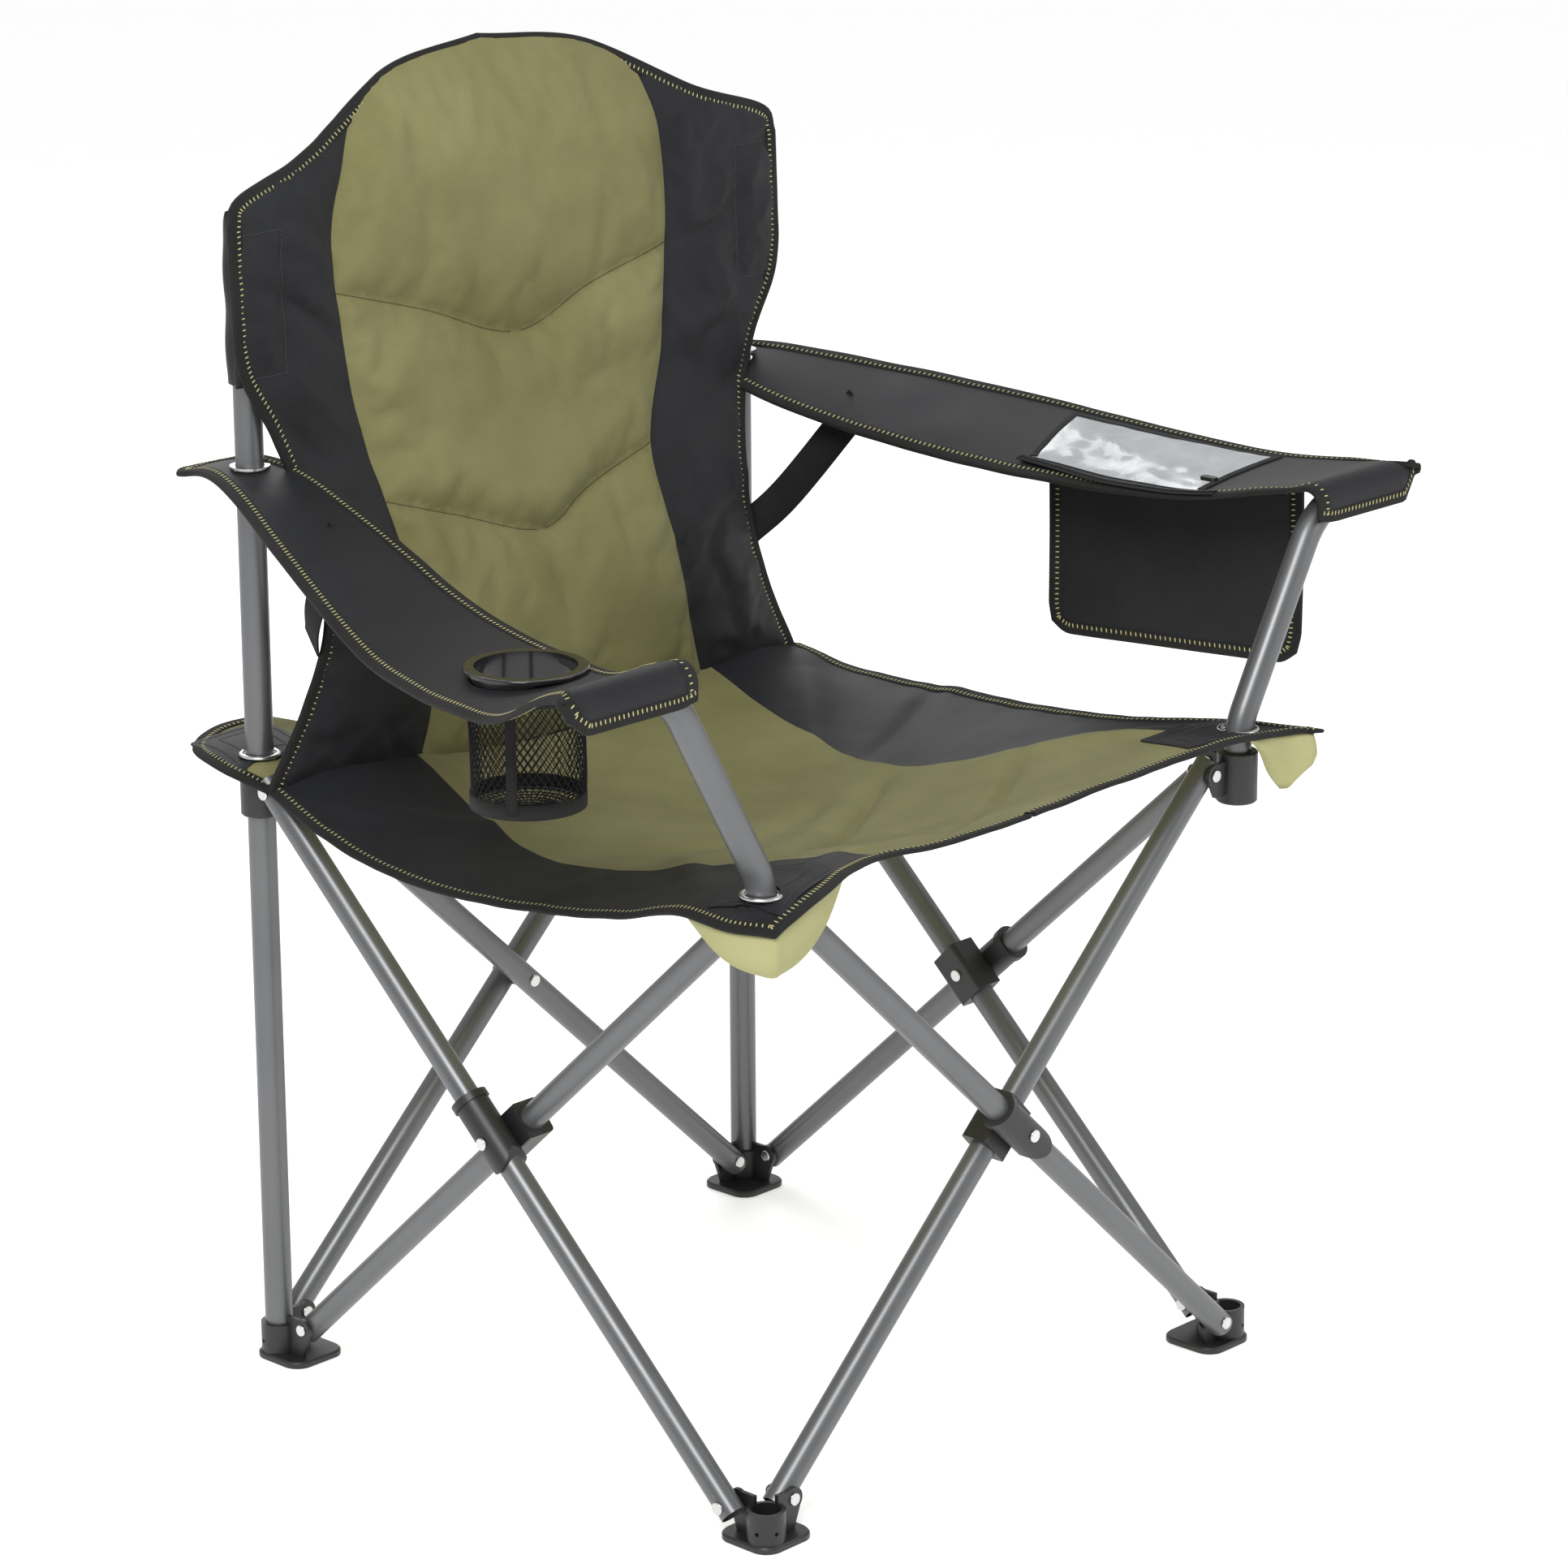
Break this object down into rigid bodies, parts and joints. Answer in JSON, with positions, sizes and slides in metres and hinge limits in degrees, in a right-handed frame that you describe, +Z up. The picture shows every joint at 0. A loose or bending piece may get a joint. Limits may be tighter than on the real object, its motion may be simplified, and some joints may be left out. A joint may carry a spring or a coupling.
{
  "type": "folding camp chair",
  "caption": "Folding quad camp chair: crossed tube legs, sling seat, padded high back, fabric arm rests with a cup holder and a zip pouch.",
  "frame": {"origin": "on the ground under the middle of the four legs", "axes": "+Z up; the sitter faces -Y; +X is the sitter's left"},
  "size_m": [0.9116, 0.66, 1.0142],
  "materials": {
    "tube_paint": "satin gunmetal powder coat",
    "rivet_steel": "bright plated",
    "eyelet_steel": "bright plated",
    "zip_metal": "black enamel",
    "black_plastic": "fine matte moulded",
    "gloss_black": "glossy moulded",
    "seat_fabric": "olive and black woven polyester",
    "back_fabric": "olive and black woven polyester, padded",
    "black_fabric": "black woven polyester",
    "cup_netting": "black diamond netting",
    "clear_film": "clear flexible PVC film"
  },
  "bodies": {
    "front_right_foot": {"front_right_foot": "black_plastic", "front_right_foot_rivets": "rivet_steel"},
    "right_outer_leg": {"right_outer_tube": "tube_paint", "right_crossing_saddle": "black_plastic", "right_crossing_pin": "rivet_steel"},
    "right_inner_leg": {"right_inner_tube": "tube_paint", "right_crossing_clasp": "black_plastic"},
    "rear_right_post": {"rear_right_foot": "black_plastic", "rear_right_foot_rivets": "rivet_steel", "rear_right_upright": "tube_paint", "right_upright_cap": "black_plastic", "right_back_pocket": "black_fabric", "right_arm_eyelet": "eyelet_steel"},
    "rear_right_slider": {"rear_right_hub": "black_plastic", "rear_right_hub_rivets": "rivet_steel"},
    "right_arm": {"front_right_hub": "black_plastic", "front_right_hub_rivets": "rivet_steel", "right_arm_post": "tube_paint", "right_arm_post_cap": "black_plastic", "right_arm_rest": "black_fabric", "right_side_strap": "black_fabric", "cup_ring": "gloss_black", "cup_mesh": "cup_netting"},
    "front_inner_leg": {"front_inner_tube": "tube_paint", "front_crossing_clasp": "black_plastic"},
    "front_outer_leg": {"front_outer_tube": "tube_paint", "front_crossing_saddle": "black_plastic", "front_crossing_pin": "rivet_steel"},
    "front_left_foot": {"front_left_foot": "black_plastic", "front_left_foot_rivets": "rivet_steel"},
    "left_arm": {"front_left_hub": "black_plastic", "front_left_hub_rivets": "rivet_steel", "left_arm_post": "tube_paint", "left_arm_post_cap": "black_plastic", "left_arm_rest": "black_fabric", "left_side_strap": "black_fabric", "pouch": "black_fabric", "pouch_window": "clear_film", "zip_slider": "zip_metal"},
    "left_inner_leg": {"left_inner_tube": "tube_paint", "left_crossing_clasp": "black_plastic"},
    "left_outer_leg": {"left_outer_tube": "tube_paint", "left_crossing_saddle": "black_plastic", "left_crossing_pin": "rivet_steel"},
    "rear_left_post": {"rear_left_foot": "black_plastic", "rear_left_foot_rivets": "rivet_steel", "rear_left_upright": "tube_paint", "left_upright_cap": "black_plastic", "left_back_pocket": "black_fabric", "left_arm_eyelet": "eyelet_steel"},
    "rear_left_slider": {"rear_left_hub": "black_plastic", "rear_left_hub_rivets": "rivet_steel"},
    "rear_outer_leg": {"rear_outer_tube": "tube_paint", "rear_crossing_pin": "rivet_steel", "rear_crossing_spacer": "black_plastic"},
    "rear_inner_leg": {"rear_inner_tube": "tube_paint"},
    "seat_right_half": {"seat_right": "seat_fabric"},
    "seat_left_half": {"seat_left": "seat_fabric"},
    "back_right_half": {"back_right": "back_fabric"},
    "back_left_half": {"back_left": "back_fabric"}
  },
  "joints": [
    {"name": "fold", "type": "hinge", "parent": "front_right_foot", "child": "right_outer_leg", "pos_m": [-0.279, -0.239, 0.028], "axis": [1, 0, 0], "range_deg": [0, 38], "deforming": ["seat_right", "seat_left", "back_right", "back_left", "right_arm_rest", "left_arm_rest", "right_side_strap", "left_side_strap", "pouch", "pouch_window", "zip_slider"]},
    {"name": "right_crossing", "type": "hinge", "parent": "right_outer_leg", "child": "right_inner_leg", "pos_m": [-0.267, 0, 0.252], "axis": [1, 0, 0], "range_deg": [-76.01, 0]},
    {"name": "rear_right_foot_pivot", "type": "hinge", "parent": "right_inner_leg", "child": "rear_right_post", "pos_m": [-0.255, 0.239, 0.028], "axis": [1, 0, 0], "range_deg": [0, 38.01]},
    {"name": "rear_right_hub_pivot", "type": "hinge", "parent": "right_outer_leg", "child": "rear_right_slider", "pos_m": [-0.279, 0.239, 0.476], "axis": [1, 0, 0], "range_deg": [-38.01, 0]},
    {"name": "front_right_hub_pivot", "type": "hinge", "parent": "right_inner_leg", "child": "right_arm", "pos_m": [-0.255, -0.239, 0.476], "axis": [1, 0, 0], "range_deg": [0, 38.01]},
    {"name": "front_right_foot_pivot", "type": "hinge", "parent": "front_right_foot", "child": "front_inner_leg", "pos_m": [-0.239, -0.255, 0.028], "axis": [0, -1, 0], "range_deg": [0, 38.01]},
    {"name": "front_crossing", "type": "hinge", "parent": "front_inner_leg", "child": "front_outer_leg", "pos_m": [0, -0.267, 0.252], "axis": [0, -1, 0], "range_deg": [-76.01, 0]},
    {"name": "front_left_foot_pivot", "type": "hinge", "parent": "front_outer_leg", "child": "front_left_foot", "pos_m": [0.239, -0.279, 0.028], "axis": [0, -1, 0], "range_deg": [0, 38.01]},
    {"name": "front_left_hub_pivot", "type": "hinge", "parent": "front_inner_leg", "child": "left_arm", "pos_m": [0.239, -0.255, 0.476], "axis": [0, -1, 0], "range_deg": [-38.01, 0]},
    {"name": "left_foot_pivot", "type": "hinge", "parent": "front_left_foot", "child": "left_inner_leg", "pos_m": [0.255, -0.239, 0.028], "axis": [1, 0, 0], "range_deg": [0, 38.01]},
    {"name": "left_crossing", "type": "hinge", "parent": "left_inner_leg", "child": "left_outer_leg", "pos_m": [0.267, 0, 0.252], "axis": [1, 0, 0], "range_deg": [-76.01, 0]},
    {"name": "rear_left_foot_pivot", "type": "hinge", "parent": "left_outer_leg", "child": "rear_left_post", "pos_m": [0.279, 0.239, 0.028], "axis": [1, 0, 0], "range_deg": [0, 38.01]},
    {"name": "rear_left_hub_pivot", "type": "hinge", "parent": "left_inner_leg", "child": "rear_left_slider", "pos_m": [0.255, 0.239, 0.476], "axis": [1, 0, 0], "range_deg": [-38.01, 0]},
    {"name": "rear_outer_foot_pivot", "type": "hinge", "parent": "rear_right_post", "child": "rear_outer_leg", "pos_m": [-0.239, 0.279, 0.028], "axis": [0, -1, 0], "range_deg": [0, 38.01]},
    {"name": "rear_inner_foot_pivot", "type": "hinge", "parent": "rear_left_post", "child": "rear_inner_leg", "pos_m": [0.239, 0.255, 0.028], "axis": [0, 1, 0], "range_deg": [0, 38.01]},
    {"name": "seat_right_drop", "type": "hinge", "parent": "right_arm", "child": "seat_right_half", "pos_m": [-0.239, -0.279, 0.476], "axis": [0, 1, 0], "range_deg": [0, 80.01]},
    {"name": "seat_left_drop", "type": "hinge", "parent": "left_arm", "child": "seat_left_half", "pos_m": [0.239, -0.255, 0.476], "axis": [0, -1, 0], "range_deg": [0, 80.01]},
    {"name": "back_right_swing", "type": "hinge", "parent": "rear_right_post", "child": "back_right_half", "pos_m": [-0.267, 0.267, 0.7], "axis": [0, 0, 1], "range_deg": [0, 80.01]},
    {"name": "back_left_swing", "type": "hinge", "parent": "rear_left_post", "child": "back_left_half", "pos_m": [0.267, 0.267, 0.7], "axis": [0, 0, -1], "range_deg": [0, 80.01]}
  ],
  "couplings": [
    {"joint": "right_crossing", "follows": "fold", "ratio": -2},
    {"joint": "rear_right_foot_pivot", "follows": "fold", "ratio": 1},
    {"joint": "rear_right_hub_pivot", "follows": "fold", "ratio": -1},
    {"joint": "front_right_hub_pivot", "follows": "fold", "ratio": 1},
    {"joint": "front_right_foot_pivot", "follows": "fold", "ratio": 1},
    {"joint": "front_crossing", "follows": "fold", "ratio": -2},
    {"joint": "front_left_foot_pivot", "follows": "fold", "ratio": 1},
    {"joint": "front_left_hub_pivot", "follows": "fold", "ratio": -1},
    {"joint": "left_foot_pivot", "follows": "fold", "ratio": 1},
    {"joint": "left_crossing", "follows": "fold", "ratio": -2},
    {"joint": "rear_left_foot_pivot", "follows": "fold", "ratio": 1},
    {"joint": "rear_left_hub_pivot", "follows": "fold", "ratio": -1},
    {"joint": "rear_outer_foot_pivot", "follows": "fold", "ratio": 1},
    {"joint": "rear_inner_foot_pivot", "follows": "fold", "ratio": 1},
    {"joint": "seat_right_drop", "follows": "fold", "ratio": 2.1053},
    {"joint": "seat_left_drop", "follows": "fold", "ratio": 2.1053},
    {"joint": "back_right_swing", "follows": "fold", "ratio": 2.1053},
    {"joint": "back_left_swing", "follows": "fold", "ratio": 2.1053}
  ]
}
